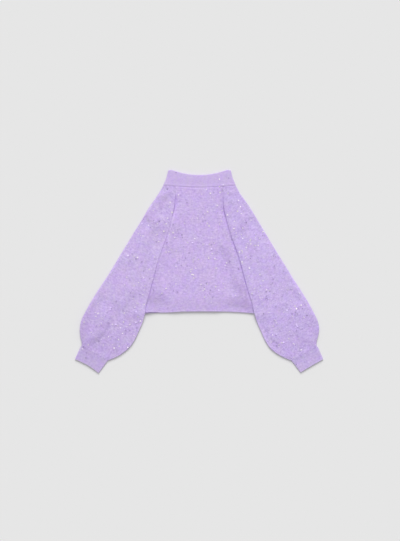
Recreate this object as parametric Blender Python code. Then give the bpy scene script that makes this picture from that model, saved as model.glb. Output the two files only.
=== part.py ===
# A cropped knit sweater with balloon sleeves, lying flat with its front up.
#
# Metres, +Z up. The collar points to +Y and the hem to -Y. The underside rests on Z = 0, and the
# origin is the middle of the outline. The wearer's left sleeve lies at +X, the right one at -X.
#
# Layers, from the surface up: the back panel and the back half of each sleeve, the front panel,
# then the sleeves, which are folded down over the sides of the front. Each piece is a wall of
# knit with a small gap to its neighbours, as along a seam.

import math
from collections import namedtuple

import bmesh
import bpy

MM = 0.001

# Knit and seams, in millimetres like every size below
KNIT = 2.2
CUFF_KNIT = 2.6
COLLAR_KNIT = 3.4
GAP = 0.3
LAYER = KNIT + GAP

# Body
BODY_HALF_WIDTH = 220.0
HEM_Y = -148.3
NECK_POINTS = 12

# Neck seam: a shallow curve, lowest at the middle
NECK_SEAM_Y = 298.7
NECK_SEAM_RISE = 9.3
NECK_HALF_WIDTH = 131.8

# Collar: the top edge dips between two raised corners
COLLAR_TOP_Y = 362.5
COLLAR_DIP = 18.2
COLLAR_DIP_HALF_WIDTH = 99.0
COLLAR_CORNER = 3.0
CollarRow = namedtuple("CollarRow", "height half_width swell")
COLLAR_ROWS = (
    CollarRow(0.00, 131.2, 0.0),
    CollarRow(0.12, 128.6, 0.5),
    CollarRow(0.30, 124.2, 0.2),
    CollarRow(0.52, 119.4, 0.3),
    CollarRow(0.78, 115.6, 0.4),
    CollarRow(1.00, 112.8, 0.0),
)
COLLAR_FRONT_COLUMNS = 20
COLLAR_BACK_COLUMNS = 12

# The sleeve comes down from the layers below it over a short ramp outside their edge, which starts
# RAMP_START from that edge. The tuck is the least cloth turned under at the inner fold.
RAMP_START = 3.5
UNDER_RAMP_END = 30.0
TOP_RAMP_END = 55.0
TUCK = 0.8

# Sleeve, a row for each section from the neck to the cuff. A row runs from the outer fold to the
# inner fold. front_x and back_x are where the raglan seams cross it or, below the underarm, where
# the side of the body lies. layers says how many layers of the body the row lies on at its inner
# fold, turn is how far the inner edge is folded under, puff is the extra room inside the sleeve
# and ease the room at its folds.
SleeveRow = namedtuple("SleeveRow", "outer_x outer_y fold_x fold_y front_x back_x layers turn puff ease")
SLEEVE_ROWS = (
    SleeveRow(131.8, 307.6, 83.9, 302.0, 83.9, 83.9, 0.0, 0, 0.0, 0.3),
    SleeveRow(141.1, 290.2, 83.6, 290.2, 83.6, 88.0, 0.0, 0, 0.0, 0.3),
    SleeveRow(144.9, 283.0, 83.7, 283.6, 83.7, 91.5, 0.9, 60, 0.0, 0.3),
    SleeveRow(149.3, 275.9, 83.9, 276.6, 83.9, 95.0, 1.5, 120, 0.0, 0.3),
    SleeveRow(153.9, 268.4, 84.3, 269.4, 84.3, 98.5, 2.0, 180, 0.1, 0.3),
    SleeveRow(162.8, 254.1, 85.3, 256.9, 97.0, 105.5, 2.0, 180, 0.2, 0.3),
    SleeveRow(180.6, 226.6, 87.8, 231.9, 116.0, 120.5, 2.0, 180, 0.4, 0.3),
    SleeveRow(208.9, 183.7, 95.7, 194.4, 140.0, 143.0, 2.0, 180, 0.7, 0.3),
    SleeveRow(235.0, 140.9, 107.1, 148.0, 166.5, 168.5, 2.0, 180, 1.0, 0.3),
    SleeveRow(260.7, 98.0, 121.1, 105.2, 193.0, 194.0, 2.0, 180, 1.2, 0.3),
    SleeveRow(287.1, 55.2, 137.5, 64.1, 220.0, 220.0, 2.0, 180, 1.4, 0.3),
    SleeveRow(313.5, 12.3, 151.8, 17.7, 220.0, 220.0, 2.0, 180, 1.6, 0.4),
    SleeveRow(340.3, -30.5, 164.6, -30.5, 220.0, 220.0, 2.0, 180, 1.9, 0.5),
    SleeveRow(367.5, -73.4, 177.5, -75.2, 220.0, 220.0, 2.0, 180, 2.2, 0.6),
    SleeveRow(393.5, -114.5, 188.5, -114.5, 220.0, 220.0, 2.0, 180, 2.5, 0.7),
    SleeveRow(409.6, -144.8, 192.5, -153.0, 220.0, 220.0, 2.0, 180, 2.7, 0.8),
    SleeveRow(422.4, -175.2, 198.5, -180.5, 232.0, 232.0, 0.5, 180, 2.8, 0.8),
    SleeveRow(429.6, -205.5, 212.5, -212.7, 250.0, 250.0, 0.0, 180, 2.8, 0.8),
    SleeveRow(427.1, -232.3, 227.5, -246.6, 266.0, 266.0, 0.0, 180, 2.6, 0.8),
    SleeveRow(422.8, -250.5, 248.5, -276.9, 286.0, 286.0, 0.0, 180, 2.2, 0.7),
    SleeveRow(421.7, -262.3, 284.6, -304.1, 316.0, 316.0, 0.0, 180, 1.5, 0.5),
    SleeveRow(421.4, -268.4, 330.0, -319.8, 352.0, 352.0, 0.0, 180, 0.8, 0.3),
)
UNDERARM_ROW = 10
UNDERARM_SEAM = 3.3
UNDER_COLUMNS = 9
TOP_COLUMNS = 26
TUCKED_COLUMNS = 5
FOLD_STEPS = 4

# Gathers where the balloon meets the cuff: across is from the outer fold (0) to the inner (1),
# and reach is how far the ridge runs up the sleeve from the cuff
Gather = namedtuple("Gather", "across width height reach")
GATHERS = (
    Gather(0.13, 0.045, 1.2, 46.0),
    Gather(0.27, 0.050, 1.5, 74.0),
    Gather(0.43, 0.055, 1.3, 58.0),
    Gather(0.58, 0.050, 1.6, 88.0),
    Gather(0.74, 0.050, 1.3, 64.0),
    Gather(0.88, 0.040, 1.0, 40.0),
)

# Cuff, a row for each section from the sleeve to its open end
CuffRow = namedtuple("CuffRow", "outer_x outer_y inner_x inner_y")
CUFF_ROWS = (
    CuffRow(421.6, -268.8, 330.1, -320.2),
    CuffRow(431.6, -290.6, 345.0, -340.2),
    CuffRow(442.5, -315.0, 361.4, -362.3),
)
CUFF_COLUMNS = 10

Finish = namedtuple("Finish", "name colour roughness")
FINISHES = {
    "back_panel": Finish("knit_back", (0.578, 0.451, 0.768), 0.9),
    "front_panel": Finish("knit_front", (0.578, 0.451, 0.768), 0.9),
    "sleeve_left": Finish("knit_sleeve_left", (0.571, 0.445, 0.761), 0.9),
    "sleeve_right": Finish("knit_sleeve_right", (0.571, 0.445, 0.761), 0.9),
    "cuff_left": Finish("rib_cuff_left", (0.550, 0.430, 0.740), 0.9),
    "cuff_right": Finish("rib_cuff_right", (0.550, 0.430, 0.740), 0.9),
    "collar": Finish("rib_collar", (0.584, 0.468, 0.791), 0.88),
}


def clear_scene():
    for item in list(bpy.data.objects):
        bpy.data.objects.remove(item, do_unlink=True)


def smooth_step(value):
    value = min(max(value, 0.0), 1.0)
    return value * value * (3.0 - 2.0 * value)


def neck_seam_y(x):
    """The height of the neck seam on the flat garment, at a distance x from its middle."""
    return NECK_SEAM_Y + NECK_SEAM_RISE * (x / NECK_HALF_WIDTH) ** 2


def make_material(finish):
    material = bpy.data.materials.new(finish.name)
    material.use_nodes = True
    shader = material.node_tree.nodes["Principled BSDF"]
    shader.inputs["Base Color"].default_value = (*finish.colour, 1.0)
    shader.inputs["Roughness"].default_value = finish.roughness
    shader.inputs["Metallic"].default_value = 0.0
    return material


def add_object(name, mesh_data):
    """Turn a bmesh in millimetres into a named, smooth-shaded object in metres."""
    bmesh.ops.scale(mesh_data, vec=(MM, MM, MM), verts=mesh_data.verts)
    bmesh.ops.recalc_face_normals(mesh_data, faces=mesh_data.faces)
    mesh = bpy.data.meshes.new(name)
    mesh_data.to_mesh(mesh)
    mesh_data.free()
    mesh.shade_smooth()
    mesh.set_sharp_from_angle(angle=math.radians(50.0))
    mesh.materials.append(make_material(FINISHES[name]))
    piece = bpy.data.objects.new(name, mesh)
    bpy.context.scene.collection.objects.link(piece)
    return piece


def fold_arc(centre_q, centre_z, radius):
    """Half a turn of cloth round its outer fold, from the under layer up to the top one."""
    points = []
    for step in range(FOLD_STEPS + 1):
        angle = math.pi * (0.5 + step / FOLD_STEPS)
        points.append((centre_q + radius * math.cos(angle), centre_z - radius * math.sin(angle)))
    return points


def turned_edge(radius, turn, length):
    """The inner edge of the cloth from its own start: a bend through turn, then a straight run."""
    chord = 2.0 * radius * math.sin(math.pi / (2 * FOLD_STEPS))
    q, z = 0.0, 0.0
    points = [(q, z)]
    for step in range(FOLD_STEPS):
        angle = turn * (step + 0.5) / FOLD_STEPS
        q += chord * math.cos(angle)
        z -= chord * math.sin(angle)
        points.append((q, z))
    for _ in range(TUCKED_COLUMNS):
        q += length / TUCKED_COLUMNS * math.cos(turn)
        z -= length / TUCKED_COLUMNS * math.sin(turn)
        points.append((q, z))
    return points


def wall_points(centre, thickness, closed):
    """Move a section's middle line out and in by half its thickness."""
    count = len(centre)
    outside, inside = [], []
    for index, (q, z) in enumerate(centre):
        before = centre[index - 1] if closed or index > 0 else centre[index]
        after = centre[(index + 1) % count] if closed or index < count - 1 else centre[index]
        run_q, run_z = after[0] - before[0], after[1] - before[1]
        size = math.hypot(run_q, run_z)
        side_q, side_z = -run_z / size * thickness / 2, run_q / size * thickness / 2
        outside.append((q + side_q, z + side_z))
        inside.append((q - side_q, z - side_z))
    return outside, inside


def build_wall(rows, closed_from):
    """A wall through rows of (outside, inside) points, each row a ring from closed_from on."""
    wall = bmesh.new()
    sheets = []
    for side in (0, 1):
        sheets.append([[wall.verts.new(point) for point in row[side]] for row in rows])
    columns = len(rows[0][0])
    outline = {}
    for side, sheet in enumerate(sheets):
        for index in range(len(sheet) - 1):
            spans = columns if index >= closed_from else columns - 1
            for column in range(spans):
                following = (column + 1) % columns
                corners = ((index, column), (index, following), (index + 1, following), (index + 1, column))
                wall.faces.new([sheet[row][place] for row, place in corners])
                if side == 0:
                    for start, end in zip(corners, corners[1:] + corners[:1]):
                        if (end, start) in outline:
                            del outline[(end, start)]
                        else:
                            outline[(start, end)] = True
    outer, inner = sheets
    for (row, column), (next_row, next_column) in outline:
        wall.faces.new(
            (
                outer[row][column],
                inner[row][column],
                inner[next_row][next_column],
                outer[next_row][next_column],
            )
        )
    return wall


def gather_height(across, to_cuff):
    """How far the gathers lift the top layer at a point to_cuff above the cuff seam."""
    height = 0.0
    for gather in GATHERS:
        shape = math.exp(-(((across - gather.across) / gather.width) ** 2))
        height += gather.height * shape * (1.0 - smooth_step(to_cuff / gather.reach))
    return height


def row_width(row):
    return math.hypot(row.outer_x - row.fold_x, row.outer_y - row.fold_y)


def row_distance(row, x):
    """How far along a sleeve row, from its outer fold, the given x lies."""
    return (row.outer_x - x) / (row.outer_x - row.fold_x) * row_width(row)


def distance_to_cuff(row):
    end = SLEEVE_ROWS[-1]
    across = (row.outer_x + row.fold_x - end.outer_x - end.fold_x) / 2
    along = (row.outer_y + row.fold_y - end.outer_y - end.fold_y) / 2
    return math.hypot(across, along)


def sleeve_section(row, closed):
    """The middle line of one sleeve section, as distances along its row and heights."""
    lift = row.layers * LAYER
    turn = math.radians(row.turn)
    fold_radius = (KNIT + row.ease) / 2
    fold_q = KNIT / 2 + fold_radius
    front_q = row_distance(row, row.front_x)
    under_level = KNIT / 2
    top_level = under_level + 2 * fold_radius

    def resting(q, ramp_end):
        return lift * smooth_step((ramp_end - front_q + q) / (ramp_end - RAMP_START))

    under_q = front_q - UNDERARM_SEAM if closed else row_distance(row, row.back_x) - GAP / 2
    centre = []
    for column in range(UNDER_COLUMNS):
        q = under_q + (fold_q - under_q) * column / UNDER_COLUMNS
        centre.append((q, under_level + (resting(q, UNDER_RAMP_END) if closed else 0.0)))
    centre += fold_arc(fold_q, under_level + fold_radius, fold_radius)

    tucked = max(row_width(row) - fold_q - front_q, TUCK)
    edge = turned_edge(fold_radius, turn, tucked)
    furthest = max(q for q, z in edge) + KNIT / 2 * math.sin(min(turn, math.pi / 2))
    edge_q = row_width(row) - GAP / 2 - furthest
    to_cuff = distance_to_cuff(row)
    for column in range(1, TOP_COLUMNS + 1):
        across = column / (TOP_COLUMNS + 1)
        q = fold_q + (edge_q - fold_q) * across
        room = row.puff * math.sin(math.pi * across) + gather_height(across, to_cuff)
        centre.append((q, top_level + resting(q, TOP_RAMP_END) + room))
    for q, z in edge:
        centre.append((edge_q + q, top_level + lift + z))
    return centre


def sleeve_rows(side):
    """Every section of a sleeve as 3-D points, on the wearer's left (side 1) or right (-1)."""
    rows = []
    for index, row in enumerate(SLEEVE_ROWS):
        closed = index >= UNDERARM_ROW
        centre = sleeve_section(row, closed)
        width = row_width(row)
        along_x, along_y = (row.fold_x - row.outer_x) / width, (row.fold_y - row.outer_y) / width
        sheets = []
        for section in wall_points(centre, KNIT, closed):
            points = []
            for q, z in section:
                points.append((side * (row.outer_x + along_x * q), row.outer_y + along_y * q, z))
            sheets.append(points)
        rows.append(sheets)
    return rows


def flat_ring(half_width, knit, front_columns, back_columns, swell):
    """A tube's section laid flat: the under layer, a fold, the top layer and the other fold."""
    radius = (knit + GAP) / 2
    flat = half_width - knit / 2 - radius
    points = []
    for column in range(back_columns):
        points.append((flat - 2 * flat * column / back_columns, knit / 2))
    points += fold_arc(-flat, knit / 2 + radius, radius)
    for column in range(1, front_columns):
        across = column / front_columns
        points.append((2 * flat * across - flat, knit * 1.5 + GAP + swell * math.sin(math.pi * across)))
    for step in range(FOLD_STEPS):
        angle = math.pi * (0.5 - step / FOLD_STEPS)
        points.append((flat + radius * math.cos(angle), knit / 2 + radius + radius * math.sin(angle)))
    return points


def collar_edge_y(x):
    """The collar's top edge at a distance x from the middle."""
    dip = max(1.0 - (x / COLLAR_DIP_HALF_WIDTH) ** 2, 0.0)
    corner = max(abs(x) - COLLAR_DIP_HALF_WIDTH, 0.0) / (COLLAR_ROWS[-1].half_width - COLLAR_DIP_HALF_WIDTH)
    return COLLAR_TOP_Y - COLLAR_DIP * dip - COLLAR_CORNER * corner**2


def add_collar():
    rows = []
    for row in COLLAR_ROWS:
        centre = flat_ring(
            row.half_width, COLLAR_KNIT, COLLAR_FRONT_COLUMNS, COLLAR_BACK_COLUMNS, row.swell
        )
        sheets = []
        for section in wall_points(centre, COLLAR_KNIT, True):
            points = []
            for x, z in section:
                seam = neck_seam_y(x) + GAP / 2
                top_x = x * COLLAR_ROWS[-1].half_width / row.half_width
                points.append((x, seam + (collar_edge_y(top_x) - seam) * row.height, z))
            sheets.append(points)
        rows.append(sheets)
    return add_object("collar", build_wall(rows, 0))


def add_sleeve(name, side):
    return add_object(name, build_wall(sleeve_rows(side), UNDERARM_ROW))


def add_cuff(name, side):
    rows = []
    for row in CUFF_ROWS:
        width = math.hypot(row.outer_x - row.inner_x, row.outer_y - row.inner_y)
        along_x, along_y = (row.inner_x - row.outer_x) / width, (row.inner_y - row.outer_y) / width
        centre = flat_ring(width / 2, CUFF_KNIT, CUFF_COLUMNS, CUFF_COLUMNS, 0.3)
        sheets = []
        for section in wall_points(centre, CUFF_KNIT, True):
            points = []
            for q, z in section:
                distance = q + width / 2
                x = row.outer_x + along_x * distance
                points.append((side * x, row.outer_y + along_y * distance, z))
            sheets.append(points)
        rows.append(sheets)
    return add_object(name, build_wall(rows, 0))


def panel_outline(seam):
    """Half of a body panel's outline, from the middle of the neck round to the hem."""
    neck_x = SLEEVE_ROWS[0].fold_x - GAP
    points = []
    for step in range(NECK_POINTS):
        x = neck_x * step / NECK_POINTS
        points.append((x, neck_seam_y(x) - GAP / 2))
    for row in SLEEVE_ROWS[: UNDERARM_ROW + 1]:
        x = getattr(row, seam)
        share = row_distance(row, x) / row_width(row)
        points.append((x - GAP, row.outer_y + share * (row.fold_y - row.outer_y)))
    points.append((BODY_HALF_WIDTH - GAP, HEM_Y))
    return points


def add_panel(name, seam, level):
    """A body panel of even thickness whose underside lies at the given level."""
    half = panel_outline(seam)
    outline = half + [(-x, y) for x, y in reversed(half) if x > 0.0]
    panel = bmesh.new()
    under = panel.faces.new([panel.verts.new((x, y, level)) for x, y in outline])
    top = bmesh.ops.extrude_face_region(panel, geom=[under])
    moved = [item for item in top["geom"] if isinstance(item, bmesh.types.BMVert)]
    bmesh.ops.translate(panel, vec=(0.0, 0.0, KNIT), verts=moved)
    return add_object(name, panel)


def build_sweater():
    add_panel("back_panel", "back_x", 0.0)
    add_panel("front_panel", "front_x", LAYER)
    add_sleeve("sleeve_left", 1)
    add_sleeve("sleeve_right", -1)
    add_cuff("cuff_left", 1)
    add_cuff("cuff_right", -1)
    add_collar()


clear_scene()
build_sweater()
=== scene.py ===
# Cropped knit sweater with balloon sleeves, lying flat with its front up.
# Metres, +Z up. Collar towards +Y, hem towards -Y, the wearer's left sleeve at +X.
# Sizes in the dictionaries are in millimetres.
import math

import bmesh
import bpy
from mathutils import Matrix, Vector, noise


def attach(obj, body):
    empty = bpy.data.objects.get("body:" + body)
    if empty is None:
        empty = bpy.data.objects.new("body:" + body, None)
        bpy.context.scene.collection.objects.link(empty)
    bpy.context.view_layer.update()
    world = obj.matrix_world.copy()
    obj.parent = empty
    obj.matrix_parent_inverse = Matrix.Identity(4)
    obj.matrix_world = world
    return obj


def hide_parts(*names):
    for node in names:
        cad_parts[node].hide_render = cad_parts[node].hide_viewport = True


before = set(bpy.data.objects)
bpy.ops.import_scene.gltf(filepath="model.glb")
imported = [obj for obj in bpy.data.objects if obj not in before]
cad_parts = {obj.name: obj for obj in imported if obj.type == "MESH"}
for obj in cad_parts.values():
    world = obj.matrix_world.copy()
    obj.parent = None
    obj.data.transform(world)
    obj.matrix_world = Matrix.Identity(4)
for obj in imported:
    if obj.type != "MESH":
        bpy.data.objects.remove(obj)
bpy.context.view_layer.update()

mm = 0.001

knit = {
    "thickness": 2.2, "gap": 0.3, "layer": 2.5,    # the wall, the room at a seam, and a layer with its room
    "seamRoom": 0.15,                # a little more room at the neck seam
    "rimAngles": (30.0, 65.0, 115.0, 150.0), "rimStep": 0.55,    # how a cut edge is rounded
    "seamJump": 60.0,                # a face as wide as this in the knit's measure closes a tube
}


def smoothStep(value):
    value = min(max(value, 0.0), 1.0)
    return value * value * (3.0 - 2.0 * value)


def bell(value):
    return math.exp(-value ** 2)


def fadeEnds(share, run, lastRun=None):
    # nothing at both ends of a stretch and all of it in between
    return smoothStep(share / run) * smoothStep((1.0 - share) / (lastRun or run))


def noiseOf(x, y, size, depth):
    return noise.noise(Vector((x / size, y / size, depth)))


def curveAt(values, place):
    # a smooth curve through the values
    index = min(int(place), len(values) - 2)
    part = place - index
    a, b, c, d = (values[min(max(index + k, 0), len(values) - 1)] for k in (-1, 0, 1, 2))
    return 0.5 * (2 * b + (c - a) * part + (2 * a - 5 * b + 4 * c - d) * part ** 2
                  + (3 * b - a - 3 * c + d) * part ** 3)


def lineAt(values, place):
    index = min(int(place), len(values) - 2)
    return values[index] + (values[index + 1] - values[index]) * (place - index)


def nearestOn(points, x, y, reach):
    # how far a point lies from a line, signed by its side, and how far along
    if not (min(p[0] for p in points) - reach < x < max(p[0] for p in points) + reach
            and min(p[1] for p in points) - reach < y < max(p[1] for p in points) + reach):
        return reach, 0.0
    lengths = [math.dist(a, b) for a, b in zip(points, points[1:])]
    gone, nearest, place = 0.0, reach, 0.0
    for (ax, ay), (bx, by), length in zip(points, points[1:], lengths):
        along = ((x - ax) * (bx - ax) + (y - ay) * (by - ay)) / length ** 2
        share = min(max(along, 0.0), 1.0)
        away = math.hypot(x - ax - (bx - ax) * share, y - ay - (by - ay) * share)
        if away < abs(nearest):
            left = (bx - ax) * (y - ay) - (by - ay) * (x - ax)
            nearest, place = math.copysign(away, left), (gone + share * length) / sum(lengths)
        gone += length
    return nearest, place


ripples = {"depth": 3.7, "fineDepth": 9.1, "fineShare": 0.5}    # where in the noise the ripples are read


def ripple(x, y, size):
    fine = noiseOf(x, y, size / 2, ripples["fineDepth"])
    return noiseOf(x, y, size, ripples["depth"]) + ripples["fineShare"] * fine


# Creases: points along one, its half width and its height, negative for a trough
creases = {
    "leftTop": (
        (((288, 31), (232, 6), (166, -27)), 2.6, -0.5),
        (((268, 82), (262, 40), (276, 0)), 12, 0.4),
        (((250, -60), (292, -105), (310, -150)), 13, 0.5),
    ),
    "rightTop": (
        (((-286, 31), (-230, 6), (-174, -21)), 2.6, -0.5),
        (((-236, 78), (-252, 50), (-284, 62)), 13, 0.5),
        (((-330, -110), (-356, -160), (-366, -200)), 13, 0.5),
    ),
    "front": (
        (((-87, 284), (-88, 264), (-89, 240), (-93, 212), (-98, 186)), 8, -3.4),
        (((85, 316), (85, 280), (85, 250), (89, 208), (103, 152)), 8.0, -3.6),
        (((102, 160), (119, 104), (135, 62), (149, 16), (162, -32), (176, -90)), 7.0, -2.0),
        (((-30, 120), (-16, 60), (-28, 0)), 16, 0.5),
        (((44, -20), (58, -46), (62, -84)), 15, 0.5),
    ),
    "leftUnder": (
        (((300, -20), (328, -70), (344, -130)), 10, 0.8),
        (((390, -160), (384, -200), (360, -240)), 8, 1.0),
        (((300, -190), (326, -232), (362, -262)), 10, 0.9),
        (((232, 150), (220, 118), (226, 80)), 9, 0.4),
    ),
    "rightUnder": (
        (((-312, -36), (-336, -84), (-350, -140)), 9, 0.8),
        (((-396, -150), (-388, -196), (-366, -236)), 8, 1.0),
        (((-290, -180), (-318, -226), (-356, -268)), 11, 0.9),
        (((-226, 142), (-216, 104), (-228, 66)), 9, 0.4),
    ),
    "back": (
        (((-60, 190), (-72, 120), (-58, 50)), 11, 0.5),
        (((64, 170), (78, 100), (66, 20), (84, -50)), 11, 0.5),
        (((-40, -20), (-52, -70), (-36, -130)), 9, 0.4),
        (((20, 60), (30, 0), (18, -60)), 12, 0.4),
    ),
}

# Folds that fall: the side to the left of the way the points run stands high, the right side low.
# A fourth number says how much longer both take to come back.
falls = {
    "leftTop": (
        (((70, 306), (96, 292), (126, 266)), 11, 1.6),
        (((116, 112), (142, 148), (164, 174), (196, 212)), 18, 1.8, 1.5),
        (((310, -46), (342, -72), (374, -110)), 14, 1.4, 2),
        (((218, -148), (232, -195), (247, -228), (270, -254), (300, -276), (322, -290)), 10, 1.3),
        (((306, -204), (336, -230), (370, -252), (410, -250)), 17, 1.9, 2),
        (((300, -156), (352, -172), (424, -196)), 30, 1.8, 2),
        (((252, -140), (282, -132), (312, -128)), 10, 0.6),
    ),
    "rightTop": (
        (((-154, 186), (-147, 222), (-132, 256), (-110, 278), (-80, 294)), 14, 3.0, 1.5),
        (((-198, 218), (-184, 188), (-164, 156)), 12, 2.0, 1.5),
        (((-178, 152), (-134, 138), (-92, 150)), 24, 2.0, 1.5),
        (((-414, -240), (-398, -192), (-378, -150), (-358, -106), (-340, -60)), 12, 1.2),
        (((-410, -266), (-366, -248), (-336, -216), (-320, -180), (-300, -130)), 18, 3.8, 2.5),
        (((-306, -154), (-262, -118), (-216, -50)), 20, 2.2, 2),
        (((-312, -272), (-294, -262), (-276, -262)), 9, 1.4),
        (((-240, -162), (-226, -160), (-212, -166)), 9, 0.8),
    ),
    "front": (
        (((-236, -100), (-178, -100), (-96, -88)), 32, 3.4, 2),
        (((60, -100), (150, -118), (256, -128)), 34, 3.6, 2),
        (((76, -34), (140, -58), (216, -76)), 26, 1.6, 2),
        (((64, 126), (88, 78), (108, 24), (123, -28), (142, -100)), 15, 3.2, 2),
        (((22, -60), (19, -140)), 5, 1.8),
        (((-118, 68), (-66, 84)), 18, 1.1, 2),
        (((-104, 144), (-54, 152)), 18, 1.1, 2),
        (((44, 62), (96, 74)), 16, 1.0, 2),
        (((-120, -118), (-20, -128), (60, -122)), 14, 0.3),
    ),
    "leftUnder": (), "rightUnder": (), "back": (),
}
foldEnds = {"fade": 0.3, "reach": 3.0, "fallReach": 2.5}    # how creases and falls die away


def creaseLift(name, x, y):
    # what sinks and what rises at a point
    sunk = raised = 0.0
    for points, width, height in creases[name]:
        away, place = nearestOn(points, x, y, foldEnds["reach"] * width)
        lift = height * fadeEnds(place, foldEnds["fade"]) * bell(away / width)
        sunk, raised = sunk + min(lift, 0.0), raised + max(lift, 0.0)
    for points, width, height, *longer in falls[name]:
        stretch = longer[0] if longer else 1.0
        away, place = nearestOn(points, x, y, (1.0 + foldEnds["fallReach"] * stretch) * width)
        side = away / width
        if abs(side) > 1.0:
            side = math.copysign(1.0 + (abs(side) - 1.0) / stretch, side)
        lift = height * side * math.exp(0.5 - 0.5 * side ** 2) * fadeEnds(place, foldEnds["fade"])
        sunk, raised = sunk + min(lift, 0.0), raised + max(lift, 0.0)
    return sunk, raised


# Painted shade on each piece, and painted light below zero: x, y, reach and how much
deeper = {
    "frontKnit": (
        (-176, -66, 20, 0.035), (-178, -98, 22, 0.045), (-156, -122, 22, 0.022), (-162, -22, 14, 0.03),
        (-84, 150, 16, 0.006), (-92, 74, 18, 0.01), (-60, 188, 14, 0.015),
        (128, -56, 24, 0.015), (160, -76, 20, 0.03), (146, -116, 30, 0.035), (180, -132, 22, 0.03),
        (120, -20, 14, 0.04), (108, 18, 12, 0.03), (156, -137, 18, 0.05), (56, 118, 12, 0.015),
        (-104, 10, 34, 0.03), (78, 6, 30, 0.04), (-134, -30, 16, 0.02), (64, -60, 22, 0.01),
    ),
    "leftSleeveKnit": (
        (212, -110, 14, 0.05), (416, -216, 13, 0.05), (361, -71, 15, 0.045), (152, 160, 22, 0.015),
        (182, 196, 14, 0.02), (130, 126, 14, 0.03), (116, 190, 18, 0.01), (110, 262, 26, 0.03),
        (193, 150, 14, 0.03), (158, 212, 14, 0.01), (218, -82, 12, 0.02), (340, -112, 14, 0.02),
        (256, -222, 30, -0.02), (100, 240, 16, 0.02), (250, -262, 16, 0.03), (208, -128, 15, 0.03),
        (185, 72, 16, -0.02),
    ),
    "rightSleeveKnit": (
        (-362, -80, 16, 0.04), (-388, -112, 18, 0.03), (-406, -150, 18, 0.04), (-415, -190, 18, 0.045),
        (-412, -232, 20, 0.015), (-404, -268, 20, 0.02), (-334, -226, 16, 0.02), (-225, -185, 20, -0.035),
        (-140, 150, 26, 0.02), (-186, 192, 14, 0.02), (-136, 210, 14, 0.015), (-194, 155, 14, 0.035),
        (-160, 85, 14, 0.025), (-206, -68, 18, -0.025), (-262, -232, 32, -0.018),
    ),
    "leftCuffKnit": ((418, -298, 18, 0.05),),
    "rightCuffKnit": ((-416, -302, 18, 0.05),),
    "collarKnit": ((-122, 316, 16, -0.03),),
}
# Painted shade on the front along the fold of each sleeve, from the neck down, and how far in it reaches
foldPaintedShade = {
    1: ((300, 0.0), (276, 0.05), (240, 0.04), (150, 0.05), (110, 0.10), (60, 0.12), (0, 0.12),
        (-60, 0.07), (-110, 0.01), (-160, 0.0)),
    -1: ((300, 0.0), (40, 0.0), (0, 0.08), (-40, 0.11), (-80, 0.02), (-120, 0.0), (-160, 0.0)),
}
foldPaintedShadeReach = 11.0
# Painted light along the low folds and at the cut edges, and painted shade by the folds that lie on the body
edgePaintedLightAndShade = {
    "fold": {1: -0.04, -1: 0.0}, "foldReach": 7.0, "start": 1.0,
    "foldLow": 0.12, "hem": 0.07, "cuff": 0.12, "reach": 3.2,
}


def paintedShadeAndLightAt(name, x, y):
    return sum(amount * bell(math.hypot(x - atX, y - atY) / reach)
               for atX, atY, reach, amount in deeper.get(name, ()))


def offsetWall(centre, thickness, closed):
    # the two faces of a section whose middle line is given as (q, z)
    count = len(centre)
    outside, inside = [], []
    for index, (q, z) in enumerate(centre):
        before = centre[index - 1] if closed or index > 0 else centre[index]
        after = centre[(index + 1) % count] if closed or index < count - 1 else centre[index]
        runQ, runZ = after[0] - before[0], after[1] - before[1]
        size = math.hypot(runQ, runZ)
        sideQ, sideZ = -runZ / size * thickness / 2, runQ / size * thickness / 2
        outside.append((q + sideQ, z + sideZ))
        inside.append((q - sideQ, z - sideZ))
    return outside, inside


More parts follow.
